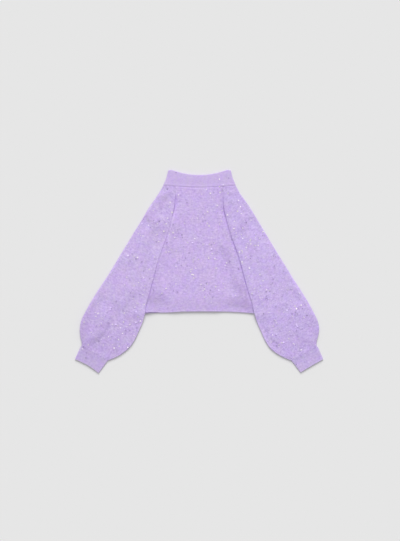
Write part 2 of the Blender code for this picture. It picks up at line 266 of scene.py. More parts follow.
def buildWall(name, rows, closedFrom, rimOf):
    # each point of a row holds its outside, inside, place in the knit, share of sequins and its painted
    # shade, negative for painted light
    # rimOf(row, column) is how far a cut edge bulges
    mesh = bmesh.new()
    uvLayer = mesh.loops.layers.uv.new("knit")
    room = mesh.verts.layers.float.new("sequinRoom")
    # painted shade, and painted light where negative, carried on each point into the yarn's colour
    paintedShading = mesh.verts.layers.float.new("deeper")
    flat = {}
    sheets = []
    for side in (0, 1):
        sheet = []
        for row in rows:
            line = []
            for point in row:
                vert = mesh.verts.new(Vector(point[side]) * mm)
                vert[room] = point[3] if side == 0 else 0.0
                vert[paintedShading] = paintedShadeAndLightAt(name, *point[side][:2]) + sum(point[4:])
                flat[vert] = point[2]
                line.append(vert)
            sheet.append(line)
        sheets.append(sheet)
    outer, inner = sheets
    columns = len(rows[0])
    rim, bulge = {}, {}

    def addFace(verts, order):
        face = mesh.faces.new([verts[k] for k in order])
        us = [flat[v][0] for v in verts]
        for loop in face.loops:
            u, v = flat[loop.vert]
            if max(us) - min(us) > knit["seamJump"]:
                u = max(us)
            loop[uvLayer].uv = (u * mm, v * mm)
        face.smooth = True
        return face

    for index in range(len(rows) - 1):
        spans = columns if index >= closedFrom else columns - 1
        for column in range(spans):
            following = (column + 1) % columns
            keys = ((index, column), (index, following), (index + 1, following), (index + 1, column))
            addFace([outer[r][c] for r, c in keys], (0, 1, 2, 3))
            addFace([inner[r][c] for r, c in keys], (3, 2, 1, 0))
            for k in range(4):
                start, end = keys[k], keys[(k + 1) % 4]
                if (end, start) in rim:
                    del rim[(end, start)]
                else:
                    far = [outer[r][c] for r, c in (keys[(k + 2) % 4], keys[(k + 3) % 4])]
                    rim[(start, end)] = far
    for (start, end), far in rim.items():
        away = (outer[start[0]][start[1]].co + outer[end[0]][end[1]].co - far[0].co - far[1].co) / 2
        for key in (start, end):
            bulge[key] = bulge.get(key, Vector()) + away.normalized()
    arcs = {}
    for (row, column), away in bulge.items():
        top, under = outer[row][column], inner[row][column]
        middle, half = (top.co + under.co) / 2, (top.co - under.co) / 2
        away = (away - half * (away.dot(half) / half.length_squared)).normalized() * rimOf(row, column) * mm
        arc = [top]
        for step, angle in enumerate(knit["rimAngles"]):
            turn = math.radians(angle)
            vert = mesh.verts.new(middle + half * math.cos(turn) + away * math.sin(turn))
            vert[paintedShading] = top[paintedShading]
            flat[vert] = (flat[top][0], flat[top][1] - knit["rimStep"] * (step + 1))
            arc.append(vert)
        arcs[(row, column)] = arc + [under]
    for start, end in rim:
        for k in range(len(knit["rimAngles"]) + 1):
            addFace((arcs[end][k], arcs[start][k], arcs[start][k + 1], arcs[end][k + 1]), (0, 1, 2, 3))
    bmesh.ops.recalc_face_normals(mesh, faces=mesh.faces)
    data = bpy.data.meshes.new(name)
    mesh.to_mesh(data)
    mesh.free()
    piece = bpy.data.objects.new(name, data)
    bpy.context.scene.collection.objects.link(piece)
    print(name, len(data.polygons), "faces")
    return piece


# How thickly the sequins lie: everywhere, in the clusters, and on the plainer parts as a share of that
sequinSpread = {
    "ground": 0.22, "cluster": 0.85, "hem": 0.2, "collar": 0.24, "cuff": 0.3,
    "clusterEnd": 2.2,
    # how uneven it is, in broad patches and in specks: how much, how large and where in the noise
    "uneven": 0.25, "unevenSize": 30.0, "unevenDepth": 1.3,
    "speckBase": 0.7, "speck": 1.2, "speckSize": 13.0, "speckDepth": 5.9,
    # x, y and reach of each cluster
    "clusters": (
        (24, 270, 22), (18, 184, 20), (-98, 125, 22), (-22, 0, 18), (32, -62, 24), (-52, -96, 14),
        (70, 60, 20), (-125, 182, 18), (-172, 166, 20), (-236, -88, 22), (-262, -195, 30),
        (-302, -118, 18), (-355, -172, 18), (-160, 40, 16), (-208, -132, 14), (128, 138, 24),
        (163, 54, 18), (210, 100, 20), (240, -100, 24), (303, -74, 20), (330, -136, 34),
        (270, -182, 14), (262, -240, 16), (322, -218, 16), (352, -262, 12), (356, -334, 18),
        (-75, 344, 10), (66, 309, 9),
    ),
}


def sequinShare(x, y, part):
    # how thickly the sequins lie: loose clusters, and few on the plainer parts
    spread = sequinSpread
    share = spread["ground"] + spread["uneven"] * noiseOf(x, y, spread["unevenSize"], spread["unevenDepth"])
    for centreX, centreY, reach in spread["clusters"]:
        away = math.hypot(x - centreX, y - centreY) / reach
        if away < spread["clusterEnd"]:
            share += spread["cluster"] * bell(away)
    share *= spread["speckBase"] + spread["speck"] * noiseOf(x, y, spread["speckSize"], spread["speckDepth"])
    if part == "body" and y < body["hemY"] + body["hemBand"]:
        share *= spread["hem"]
    elif part in ("collar", "cuff"):
        share *= spread[part]
    return min(max(share, 0.0), 1.0)


# outerX outerY foldX foldY frontX backX layers turn puff ease, from the neck to the cuff
sleeve = {
    "rows": (
        (131.8, 307.6, 83.9, 302.0, 83.9, 83.9, 0.0, 0, 0.0, 0.3),
        (141.1, 290.2, 83.6, 290.2, 83.6, 88.0, 0.0, 0, 0.0, 0.3),
        (144.9, 283.0, 83.7, 283.6, 83.7, 91.5, 0.3, 60, 0.0, 0.3),
        (149.3, 275.9, 83.9, 276.6, 83.9, 95.0, 0.6, 120, 0.0, 0.3),
        (153.9, 268.4, 84.3, 269.4, 84.3, 98.5, 0.9, 180, 0.1, 0.3),
        (162.8, 254.1, 85.3, 256.9, 97.0, 105.5, 1.25, 180, 0.2, 0.3),
        (180.6, 226.6, 87.8, 231.9, 116.0, 120.5, 1.6, 180, 0.4, 0.3),
        (208.9, 183.7, 95.7, 194.4, 140.0, 143.0, 1.85, 180, 0.7, 0.3),
        (235.0, 140.9, 107.1, 148.0, 166.5, 168.5, 2.0, 180, 1.0, 0.3),
        (260.7, 98.0, 121.1, 105.2, 193.0, 194.0, 2.0, 180, 1.2, 0.3),
        (287.1, 55.2, 137.5, 64.1, 220.0, 220.0, 2.0, 180, 1.4, 0.3),
        (313.5, 12.3, 151.8, 17.7, 220.0, 220.0, 2.0, 180, 1.6, 0.4),
        (340.3, -30.5, 164.6, -30.5, 220.0, 220.0, 2.0, 180, 1.9, 0.5),
        (367.5, -73.4, 177.5, -75.2, 220.0, 220.0, 2.0, 180, 2.2, 0.6),
        (393.5, -114.5, 188.5, -114.5, 220.0, 220.0, 2.0, 180, 2.5, 0.7),
        (409.6, -144.8, 192.5, -153.0, 220.0, 220.0, 2.0, 180, 2.7, 0.7),
        (422.4, -175.2, 198.5, -180.5, 232.0, 232.0, 0.5, 180, 2.8, 0.9),
        (429.6, -205.5, 212.5, -212.7, 250.0, 250.0, 0.0, 180, 2.8, 0.9),
        (427.1, -232.3, 227.5, -246.6, 266.0, 266.0, 0.0, 180, 2.6, 0.9),
        (422.8, -250.5, 248.5, -276.9, 286.0, 286.0, 0.0, 180, 2.2, 0.8),
        (421.7, -262.3, 284.6, -304.1, 316.0, 316.0, 0.0, 180, 1.5, 0.6),
        (421.4, -268.4, 330.0, -319.8, 352.0, 352.0, 0.0, 180, 0.8, 0.3),
    ),
    "underarm": 10,            # the row where the raglan seam ends
    "foldEnd": 15.0,           # the last row whose fold lies on the body
    "underarmSeam": 3.3, "backRoom": 0.4, "tuck": 0.8, "rim": 0.4,
    "rampStart": 3.5, "underRamp": 30.0, "topRamp": 85.0, "leastRamp": 20.0,    # where it climbs
    "rowStep": 4.6, "underColumns": 44, "topColumns": 70, "tuckedColumns": 12, "foldSteps": 8,
    "axis": (0.5, -0.866),     # the way its wales run, on the wearer's left
    "widestRow": 17,
    # how far each row's outer and inner folds lie further out, for each side
    "outerTrim": {
        1: (-3.0, -2.6, -3.4, -3.2, -2.0, -0.5, 1.0, -1.6, -2.0, -2.1, -2.3,
            -1.7, -2.4, -1.7, -2.8, -2.8, -0.9, -2.4, -3.9, -4.5, -3.6, -1.7),
        -1: (-3.0, -2.6, -1.9, -1.6, -1.2, -0.6, 0.8, -2.8, -2.0, -2.0, -2.3,
             -3.0, -2.6, -1.2, -2.4, -2.2, -0.5, -2.3, -1.8, -1.4, -1.0, -0.3),
    },
    "foldTrim": {
        1: (0, 0, 0, 0, 0.6, 0.8, 1.8, 2.2, 1.6, 1.0, 1.6,
            2.4, 2.8, 2.8, 1.6, -4.0, -6.7, -6.3, -6.7, -6.0, -6.4, -0.4),
        -1: (0, 0, 0, -0.2, -0.9, -2.5, -2.2, -1.8, -1.8, -1.4, -0.8,
             -0.8, -0.8, 0, 0, -2.6, -4.4, -3.9, -4.8, -6.2, -6.0, -0.1),
    },
    # room inside the sleeve at each row, by its outer edge and by the edge that lies on the body
    "outerRoom": (1.6, 1.6, 1.6, 1.6, 1.6, 1.7, 1.8, 2.0, 2.1, 2.1, 2.0,
                  1.9, 1.8, 1.6, 1.4, 1.2, 1.0, 0.9, 0.8, 0.7, 0.8, 0.9),
    "foldRoom": (0, 0, 0, 0, 0.2, 0.4, 0.5, 0.7, 0.8, 0.9, 1.0,
                 1.1, 1.2, 1.2, 1.2, 1.1, 0.7, 0.3, 0.2, 0.2, 0.3, 0.6),
    # how much more room there is a little way in from that edge
    "shoulder": (0, 0, 0, 0.2, 0.5, 0.8, 0.9, 0.9, 0.9, 0.9, 0.9,
                 0.9, 0.9, 0.8, 0.7, 0.6, 0.6, 0.5, 0.5, 0.4, 0.3, 0.3),
    "shoulderReach": 11.0,
    # how far these springy edges stand above the cloth between them
    "outerLift": {
        1: (0, 0, 0, 0, 0, 0, 0, 0, 0, 0, 0, 0, 0.2, 0.4, 0.6, 0.9, 1.2, 1.2, 0.8, 0.4, 0, 0),
        -1: (0, 0, 0, 0, 0, 0, 0, 0, 0, 0, 0, 0, 0.4, 1.2, 2.2, 3.0, 3.2, 2.8, 1.8, 0.8, 0.2, 0),
    },
    "foldLift": {
        1: (0, 0, 0, 0, 0, 0, 0, 0, 0, 0, 0, 0, 0, 0.2, 0.4, 0.6, 0.8, 0.8, 0.7, 0.6, 0.3, 0),
        -1: (0, 0, 0, 0, 0, 0, 0, 0, 0, 0, 0, 0, 0, 0.2, 0.4, 0.8, 1.5, 1.7, 1.4, 0.9, 0.4, 0),
    },
    "outerReach": 28.0, "foldReach": 30.0,
    # how much narrower than round the pressed folds are, outside and, from the row given on, inside
    "pressed": 0.8, "pressedFrom": 14.0,
    # how far the top stands up at the neck seam, so that it doesn't climb towards the fold
    "neckRise": (0.8, 1.8, 2.4, 2.4, 2.0, 1.3, 0.6, 0.2), "neckRiseFade": (0.45, 0.22),
    "ripple": 0.35, "rippleSize": 46.0,
    # where the creases and ripples fade out: at the neck, at the cuff, and at the sides above and below
    "neckRows": 4.0, "cuffFade": 30.0, "topFade": 0.05, "underFade": 0.15,
    "leastRoom": -0.2, "underRoom": 0.4,
    "bareEdge": 2.0, "bareRun": 9.0,    # the edges without sequins
    "gatherShift": 0.012, "gatherRun": 9.0, "gatherStart": 0.35,
    # across, width, height and reach of each gather above the cuff
    "gathers": (
        (0.07, 0.022, 0.4, 34.0), (0.13, 0.040, 0.7, 46.0), (0.20, 0.025, 0.4, 30.0),
        (0.27, 0.045, 0.9, 74.0), (0.35, 0.024, 0.4, 36.0), (0.43, 0.048, 0.7, 58.0),
        (0.51, 0.026, 0.4, 42.0), (0.58, 0.044, 0.9, 88.0), (0.66, 0.026, 0.4, 30.0),
        (0.74, 0.046, 0.7, 64.0), (0.81, 0.022, 0.4, 34.0), (0.88, 0.036, 0.6, 40.0),
    ),
}


def sleeveRowAt(place, side=0):
    table = list(zip(*sleeve["rows"]))
    outerX, outerY, foldX, foldY = (curveAt(table[k], place) for k in range(4))
    straight = [lineAt(table[k], place) for k in range(4, 10)]
    if side:
        width = math.dist((outerX, outerY), (foldX, foldY))
        alongX, alongY = (foldX - outerX) / width, (foldY - outerY) / width
        out, fold = curveAt(sleeve["outerTrim"][side], place), curveAt(sleeve["foldTrim"][side], place)
        outerX, outerY = outerX - alongX * out, outerY - alongY * out
        foldX, foldY = foldX + alongX * fold, foldY + alongY * fold
    return [outerX, outerY, foldX, foldY] + straight


def rowMiddle(row):
    return (row[0] + row[2]) / 2, (row[1] + row[3]) / 2


def sleevePlaces():
    # where the fine rows stand between those of the table
    places = []
    for index in range(len(sleeve["rows"]) - 1):
        a, b = sleeve["rows"][index], sleeve["rows"][index + 1]
        length = max(math.dist(rowMiddle(a), rowMiddle(b)),
                     math.dist(a[:2], b[:2]), math.dist(a[2:4], b[2:4]))
        steps = max(2, round(length / sleeve["rowStep"]))
        places += [index + k / steps for k in range(steps)]
    return places + [len(sleeve["rows"]) - 1.0]


def arcPoints(centreQ, centreZ, radius):
    steps = sleeve["foldSteps"]
    angles = [math.pi * (0.5 + k / steps) for k in range(steps + 1)]
    return [(centreQ + radius * math.cos(a), centreZ - radius * math.sin(a)) for a in angles]


def turnedEdge(radius, turn, length):
    # the edge turns under by the angle and runs on straight
    steps = sleeve["foldSteps"]
    chord = 2.0 * radius * math.sin(math.pi / (2 * steps))
    q = z = 0.0
    points = [(q, z)]
    for step in range(steps):
        angle = turn * (step + 0.5) / steps
        q, z = q + chord * math.cos(angle), z - chord * math.sin(angle)
        points.append((q, z))
    run = length / sleeve["tuckedColumns"]
    for _ in range(sleeve["tuckedColumns"]):
        q, z = q + run * math.cos(turn), z - run * math.sin(turn)
        points.append((q, z))
    return points


def sleeveSection(place, side):
    # one section across a sleeve: the layer below, the outer fold, the layer on top and the turned edge
    outerX, outerY, foldX, foldY, frontX, backX, layers, turn, puff, ease = sleeveRowAt(place, side)
    name = "left" if side > 0 else "right"
    closed = place >= sleeve["underarm"]
    width = math.hypot(outerX - foldX, outerY - foldY)
    alongX, alongY = (foldX - outerX) / width, (foldY - outerY) / width
    thick = knit["thickness"]
    lift = layers * knit["layer"]
    turn = math.radians(turn)
    roomOut, roomIn = (max(curveAt(sleeve[key], place), 0.0) for key in ("outerRoom", "foldRoom"))
    liftOut, liftIn = (max(curveAt(sleeve[key][side], place), 0.0) for key in ("outerLift", "foldLift"))
    shoulder = max(curveAt(sleeve["shoulder"], place), 0.0)
    outerRadius, foldRadius = (thick + ease + roomOut) / 2, (thick + ease + roomIn) / 2
    low = smoothStep(place - sleeve["pressedFrom"])
    pressOut = sleeve["pressed"]
    pressIn = 1.0 - (1.0 - pressOut) * low
    foldQ = (thick / 2 + outerRadius) * pressOut
    frontQ = (outerX - frontX) / (outerX - foldX) * width
    backQ = (outerX - backX) / (outerX - foldX) * width
    underLevel = thick / 2

    def spot(q):
        return side * (outerX + alongX * q), outerY + alongY * q

    def resting(q, ramp):
        return lift * smoothStep((ramp - frontQ + q) / (ramp - sleeve["rampStart"]))

    toCuff = math.dist(rowMiddle((outerX, outerY, foldX, foldY)), rowMiddle(sleeve["rows"][-1]))
    neckFade = smoothStep(place / sleeve["neckRows"])
    seamFade = smoothStep(toCuff / sleeve["cuffFade"]) * neckFade
    underQ = frontQ - sleeve["underarmSeam"] if closed else backQ - knit["gap"] / 2 - sleeve["backRoom"]
    centre = []
    for column in range(sleeve["underColumns"]):
        share = column / sleeve["underColumns"]
        q = underQ + (foldQ - underQ) * share
        z = underLevel + (resting(q, sleeve["underRamp"]) if closed else 0.0)
        z += liftOut * smoothStep(1.0 - (q - foldQ) / sleeve["outerReach"])
        rise = min(sum(creaseLift(name + "Under", *spot(q))), puff + sleeve["underRoom"])
        centre.append((q, z + rise * fadeEnds(share, sleeve["underFade"]) * seamFade))
    centre += arcPoints(foldQ, underLevel + liftOut + outerRadius, outerRadius)

    tucked = max(width - foldQ - frontQ, sleeve["tuck"])
    edge = turnedEdge(foldRadius, turn, tucked)
    furthest = max(q for q, z in edge) + thick / 2 * math.sin(min(turn, math.pi / 2))
    edgeQ = width - knit["gap"] / 2 - furthest * pressIn
    topRamp = min(sleeve["topRamp"], max(frontQ - foldQ, sleeve["leastRamp"]))
    gathered = smoothStep(toCuff / sleeve["gatherRun"] + sleeve["gatherStart"])
    count = sleeve["topColumns"]
    for column in range(1, count + 1):
        across = column / (count + 1)
        q = foldQ + (edgeQ - foldQ) * across
        x, y = spot(q)
        room = roomOut + (roomIn - roomOut) * smoothStep(across)
        room += liftOut * smoothStep(1.0 - (q - foldQ) / sleeve["outerReach"])
        room += liftIn * smoothStep(1.0 - (edgeQ - q) / sleeve["foldReach"])
        room += shoulder * smoothStep((edgeQ - q) / sleeve["shoulderReach"])
        for middle, spread, height, reach in sleeve["gathers"]:
            away = (across - middle - sleeve["gatherShift"] * side) / spread
            room += height * bell(away) * (1.0 - smoothStep(toCuff / reach)) * gathered
        rise = sum(creaseLift(name + "Top", x, y)) + sleeve["ripple"] * ripple(x, y, sleeve["rippleSize"])
        room += rise * fadeEnds(across, sleeve["topFade"]) * seamFade
        if place < len(sleeve["neckRise"]) - 1:
            room += lineAt(sleeve["neckRise"], place) * fadeEnds(across, *sleeve["neckRiseFade"])
        z = underLevel + thick + ease + max(room, sleeve["leastRoom"])
        centre.append((q, z + resting(q, topRamp) + bodyRise(x, y)))
    middle = len(centre) - count // 2
    for step, (q, z) in enumerate(edge):
        raised = liftIn * (1.0 - smoothStep((step - sleeve["foldSteps"]) / sleeve["tuckedColumns"]))
        z += underLevel + 2 * foldRadius + lift + raised + bodyRise(*spot(edgeQ + q))
        centre.append((edgeQ + q, z))

    # the knit's own measure along and across the sleeve
    axisX, axisY = sleeve["axis"]
    lengths = [0.0]
    for a, b in zip(centre, centre[1:]):
        lengths.append(lengths[-1] + math.dist(a, b))
    stretch = abs(alongX * -axisY + alongY * axisX)
    if place > sleeve["widestRow"]:
        wide = sleeveRowAt(sleeve["widestRow"])
        stretch *= math.dist(wide[:2], wide[2:4]) / width
    midX, midY = outerX + alongX * centre[middle][0], outerY + alongY * centre[middle][0]
    midU = midX * -axisY + midY * axisX

    def pressed(q):
        # the folds are flatter than round
        flat = max(min(q, edgeQ) - foldQ, 0.0)
        return foldQ + min(q - foldQ, 0.0) * pressOut + flat + max(q - edgeQ, 0.0) * pressIn

    points = []
    for index, sides in enumerate(zip(*offsetWall(centre, thick, closed))):
        q = centre[index][0]
        u = midU + (lengths[middle] - lengths[index]) * stretch
        v = (outerX + alongX * q) * axisX + (outerY + alongY * q) * axisY
        outside, inside = ((*spot(pressed(farQ)), z) for farQ, z in sides)
        # painted light along the low inner fold, and painted shade along the upper fold on one side
        inwards = max(width - edgePaintedLightAndShade["start"] - q, 0.0)
        paintedLightShade = edgePaintedLightAndShade["foldLow"] * low * bell(inwards / edgePaintedLightAndShade["reach"])
        paintedLightShade += edgePaintedLightAndShade["fold"][side] * (1.0 - low) * bell(inwards / edgePaintedLightAndShade["foldReach"]) * neckFade
        share = sequinShare(*spot(q), "sleeve")
        share *= smoothStep((q - sleeve["bareEdge"]) / sleeve["bareRun"])
        share *= smoothStep((width - sleeve["bareEdge"] - q) / sleeve["bareRun"])
        points.append((outside, inside, (u * side, v), share, -paintedLightShade))
    return points


def makeSleeve(name, side):
    places = sleevePlaces()
    rows = [sleeveSection(place, side) for place in places]
    closedFrom = places.index(float(sleeve["underarm"]))
    return buildWall(name, rows, closedFrom, lambda row, column: sleeve["rim"])


body = {
    "halfWidth": 220.0,
    "hemY": -148.3,
    "seamY": 298.7, "seamRise": 9.3, "seamHalfWidth": 131.8,
    "rows": 112, "columns": (12, 12, 84, 12, 12),
    "denseOut": 3.0, "denseIn": 6.0,    # where they stand closer, out and in from each sleeve's fold
    "hemBand": 58.0,           # the plainer rows above the hem
    "rim": 0.25, "seamRim": 0.2, "lastRow": 0.5,    # how far the edges bulge, and the last row but one
    "hemShort": 1.0, "sideShort": 0.3, "neckRun": 70.0, "neckFlat": 40.0, "hemReach": 90.0,
    "hemArch": 5.0, "hemArchHalf": 172.0,
    # the part of the hem that hangs a little lower, and the raised end of the front's hem
    "hemDip": 2.3, "hemDipAt": -118.0, "hemDipReach": 48.0,
    "corner": -135.0, "cornerRun": 25.0, "cornerShort": 3.0, "cornerLift": 3.0,
    # how far the front stands off the back at the neck, at the chest and low down, and at the hem
    "loftNeck": 2.0, "loftChest": 2.7, "loftLow": 4.4, "loftHem": 2.4,
    "chestRun": 80.0, "lowFrom": 230.0, "lowRun": 240.0, "hemRun": 60.0,
    # how far under the sleeves and below the hem it settles, and how much sooner low down
    "beyondFold": 40.0, "beyondLess": 0.6, "beyondFrom": -20.0, "beyondRun": 90.0,
    "belowHem": 80.0, "riseHalf": 260.0,
    "ripple": 0.3, "rippleSize": 50.0, "rippleIn": 3.0, "rippleRun": 30.0,
    "troughOut": 6.0, "troughRun": 8.0, "ridgeOut": 1.0, "ridgeRun": 5.0,    # where creases end at the folds
    "backCrease": 0.5, "backFade": 60.0,
    # how far the front sinks under the tops of the sleeves
    "tuckSink": 2.6, "tuckRun": 10.0, "tuckFrom": 180.0, "tuckFade": 60.0,
    # how far the front stays below the fold of each sleeve, from the neck down
    "belowFold": {
        1: ((300, 0.8), (276, 1.0), (262, 4.0), (240, 7.0), (200, 4.0), (150, 2.7), (100, 1.4),
            (50, 1.6), (0, 2.0), (-60, 2.9), (-110, 3.2), (-160, 3.4)),
        -1: ((300, 0.6), (270, 0.8), (256, 3.0), (240, 5.0), (222, 4.0), (200, 2.0), (180, 1.1),
             (100, 0.9), (60, 1.3), (20, 2.0), (-20, 2.8), (-60, 3.4), (-110, 3.2), (-160, 3.0)),
    },
    "besideReach": 36.0, "besideOut": 1.4, "besideStart": 1.6,
    # how much of that rise it has at the fold itself, and the run in which it gains the rest
    "atFold": {1: 0.85, -1: 0.8}, "besideRun": {1: 12.0, -1: 9.0},
    "seamLap": 1.2, "lapFrom": 266.0, "lapRun": 8.0,    # how far the front laps under the neck seams
    "bareOut": 4.0, "bareBelow": 268.0,    # no sequins where the sleeves cover it
}


def neckSeamY(x):
    return body["seamY"] + body["seamRise"] * (x / body["seamHalfWidth"]) ** 2


def seamLine(column):
    # the raglan seam as (y, x) pairs from the neck to the underarm
    line = []
    for place in sleevePlaces():
        if place > sleeve["underarm"]:
            break
        row = sleeveRowAt(place)
        x = row[column]
        share = (row[0] - x) / (row[0] - row[2])
        line.append((row[1] + share * (row[3] - row[1]), x - knit["gap"]))
    return line


def widthAt(line, y):
    if y >= line[0][0]:
        return line[0][1]
    for (topY, topX), (lowY, lowX) in zip(line, line[1:]):
        if lowY <= y <= topY:
            return topX + (lowX - topX) * (topY - y) / (topY - lowY)
    return body["halfWidth"] - knit["gap"]


def alongFold(side):
    # the fold of a sleeve from the neck down: y, x and how far its top stands above the flat front
    line = []
    places = sleevePlaces()
    for place in places[: places.index(sleeve["foldEnd"]) + 1]:
        row = sleeveRowAt(place, side)
        top = row[6] * knit["layer"]
        top += curveAt(sleeve["foldRoom"], place) + curveAt(sleeve["foldLift"][side], place)
        line.append((row[3], row[2], top))
    return line


foldLines = {side: alongFold(side) for side in (1, -1)}


def foldAt(x, y, column=1):
    line = foldLines[1 if x > 0 else -1]
    return widthAt([(point[0], point[column]) for point in line], max(y, line[-1][0] + 0.001))


def bodyRise(x, y):
    # how far the front, and what lies on it, stands above where it would lie flat
    if abs(x) > body["riseHalf"] or y < body["hemY"] - body["belowHem"]:
        return 0.0
    sooner = body["beyondLess"] * smoothStep((body["beyondFrom"] - y) / body["beyondRun"])
    beyond = body["beyondFold"] * (1.0 - sooner)
    inside = smoothStep((foldAt(x, y) + beyond - abs(x)) / body["beyondFold"])
    loft = body["loftNeck"]
    for height, part in (
            ("loftChest", smoothStep((body["seamY"] - y) / body["chestRun"])),
            ("loftLow", smoothStep((body["lowFrom"] - y) / body["lowRun"])),
            ("loftHem", 1.0 - smoothStep((y - body["hemY"]) / body["hemRun"]))):
        loft += (body[height] - loft) * part
    return loft * inside * smoothStep((y - body["hemY"] + body["belowHem"]) / body["belowHem"])


def columnPlaces(half, y):
    # the columns of the front stand closer together beside the folds
    marks = [-half]
    for side in (-1, 1):
        foldX = min(foldAt(side, y), half - body["denseOut"])
        outer, inner = min(foldX + body["denseOut"], (foldX + half) / 2), foldX - body["denseIn"]
        marks += sorted((side * outer, side * inner))
    marks.append(half)
    spans = zip(marks, marks[1:], body["columns"])
    return [a + (b - a) * k / count for a, b, count in spans for k in range(count)] + [half]


def frontHeight(x, y, side, inwards, belowNeck, corner):
    # how far the front stands above its level, with its creases and the rise beside the sleeves
    trough, ridge = creaseLift("front", x, y)
    trough *= smoothStep((inwards + body["troughOut"]) / body["troughRun"])
    trough -= body["tuckSink"] * smoothStep(-inwards / body["tuckRun"]) \
        * smoothStep((y - body["tuckFrom"]) / body["tuckFade"])
    ridge *= smoothStep((inwards + body["ridgeOut"]) / body["ridgeRun"])
    wave = body["ripple"] * ripple(x, y, body["rippleSize"])
    wave *= smoothStep((inwards - body["rippleIn"]) / body["rippleRun"]) * belowNeck
    beside = max(foldAt(x, y, 2) - widthAt(body["belowFold"][side], y), 0.0)
    beside *= smoothStep(1.0 - inwards / body["besideReach"])
    part = body["atFold"][side]
    part += (1.0 - part) * smoothStep(inwards / body["besideRun"][side])
    wave += beside * part * smoothStep((inwards + body["besideOut"]) / body["besideStart"])
    return max(bodyRise(x, y) + trough + ridge + wave + body["cornerLift"] * corner, 0.0)


def makePanel(name, seamColumn, level, front):
    line = seamLine(seamColumn)
    edgeRise = neckSeamY(line[0][1]) - body["seamY"]
    lap = body["seamLap"] * front
    topY = body["seamY"] - knit["gap"] / 2 - knit["seamRoom"] + lap
    lowY = body["hemY"] + body["hemShort"]
    levels = [topY + (lowY - topY) * index / body["rows"] for index in range(body["rows"])]
    rows = []
    for baseY in levels + [lowY + body["lastRow"], lowY]:
        nearNeck = 1.0 - smoothStep((topY - baseY) / body["neckRun"])
        belowNeck = smoothStep((topY - baseY) / body["neckFlat"])
        nearHem = 1.0 - smoothStep((baseY - lowY) / body["hemReach"])
        half = widthAt(line, baseY + edgeRise * nearNeck) - body["sideShort"]
        half += lap * smoothStep((baseY - body["lapFrom"]) / body["lapRun"])
        row = []
        for x in columnPlaces(half, baseY):
            side = 1 if x > 0 else -1
            y = baseY + (neckSeamY(x) - body["seamY"]) * nearNeck
            arch = body["hemArch"] * (1.0 - (abs(x) / body["hemArchHalf"]) ** 3)
            arch -= body["hemDip"] * bell((x - body["hemDipAt"]) / body["hemDipReach"])
            corner = smoothStep((body["corner"] - x) / body["cornerRun"]) * nearHem ** 3
            y += arch * nearHem + (body["cornerShort"] * corner if front else 0.0)
            inwards = foldAt(x, y) - abs(x)
            z = level + knit["thickness"] / 2
            paintedOnFront = 0.0
            if front:
                z += frontHeight(x, y, side, inwards, belowNeck, corner)
                # painted shade beside the sleeves' folds, less the painted light along the hem
                paintedOnFront = widthAt(foldPaintedShade[side], y) * bell(inwards / foldPaintedShadeReach)
                paintedOnFront -= edgePaintedLightAndShade["hem"] * bell((baseY - lowY) / edgePaintedLightAndShade["reach"])
            else:
                edgeFade = smoothStep((half - abs(x)) / body["backFade"]) * belowNeck
                z += edgeFade * creaseLift("back", x, y)[1] * body["backCrease"]
            high, under = (x, y, z + knit["thickness"] / 2), (x, y, z - knit["thickness"] / 2)
            share = sequinShare(x, y, "body")
            if front and inwards < -body["bareOut"] and y < body["bareBelow"]:
                share = 0.0
            row.append(((high, under) if front else (under, high)) + ((x, y), share, paintedOnFront))
        rows.append(row)
    panel = buildWall(name, rows, len(rows),
                      lambda r, c: body["rim"] if r > body["rows"] else body["seamRim"])
    for face in panel.data.polygons:
        face.material_index = int(face.center.y / mm < body["hemY"] + body["hemBand"])
    return panel


def flatHalf(halfWidth, thick):
    return halfWidth - (thick + knit["gap"] / 2) * sleeve["pressed"]


def flatRing(halfWidth, thick, frontColumns, backColumns, rise):
    # the middle line of a tube that lies flat; rise is how far its upper layer stands up
    radius = (thick + knit["gap"]) / 2
    flat = flatHalf(halfWidth, thick)
    points = [(flat - 2 * flat * k / backColumns, thick / 2) for k in range(backColumns)]
    points += arcPoints(-flat, thick / 2 + radius, radius)
    for column in range(1, frontColumns):
        across = column / frontColumns
        points.append((2 * flat * across - flat, thick * 1.5 + knit["gap"] + rise(across)))
    steps = sleeve["foldSteps"]
    for step in range(steps):
        angle = math.pi * (0.5 - step / steps)
        points.append((flat + radius * math.cos(angle), thick / 2 + radius + radius * math.sin(angle)))
    return points


def ringPoints(centre, halfWidth, thick, place, part, paintedLightShade=0.0):
    # place(q) gives the x and y of a point of the ring; the last argument is how much painted light its cut
    # edge gets
    points = []
    flat = flatHalf(halfWidth, thick)
    length = 0.0

    def pressed(q):
        return math.copysign(min(abs(q), flat) + max(abs(q) - flat, 0.0) * sleeve["pressed"], q)

    for index, sides in enumerate(zip(*offsetWall(centre, thick, True))):
        if index:
            length += math.dist(centre[index], centre[index - 1])
        (x, y), along = place(centre[index][0])
        outside, inside = ((*place(pressed(q))[0], z) for q, z in sides)
        # painted light along the cuff's folds and at its open end
        byFold = bell((halfWidth - centre[index][0]) / edgePaintedLightAndShade["reach"]) if part == "cuff" else 0.0
        pale = max(paintedLightShade, edgePaintedLightAndShade["cuff"] * byFold)
        points.append((outside, inside, (length, along), sequinShare(x, y, part), -pale))
    return points


collar = {
    # height, halfWidth and swell of each row
    "rows": (
        (0.00, 129.2, 0.0), (0.12, 127.0, 0.4), (0.30, 123.2, 0.2),
        (0.52, 118.6, 0.3), (0.78, 115.0, 0.4), (1.00, 112.4, 0.0),
    ),
    "thickness": 3.4,
    "topY": 362.5, "dip": 18.2, "dipHalfWidth": 99.0, "corner": 3.0,
    "count": 26, "frontColumns": 84, "backColumns": 60,
    "rollAt": 0.09, "rollWidth": 0.06, "roll": 0.4, "rollEnds": 4.0,
    "seamThinner": 0.3, "seamRun": 0.07, "spacing": 1.15,    # above 1, the rows stand closer at the seam
    "rim": 1.4, "rimRoom": 1.0, "seamRim": 0.2,
}


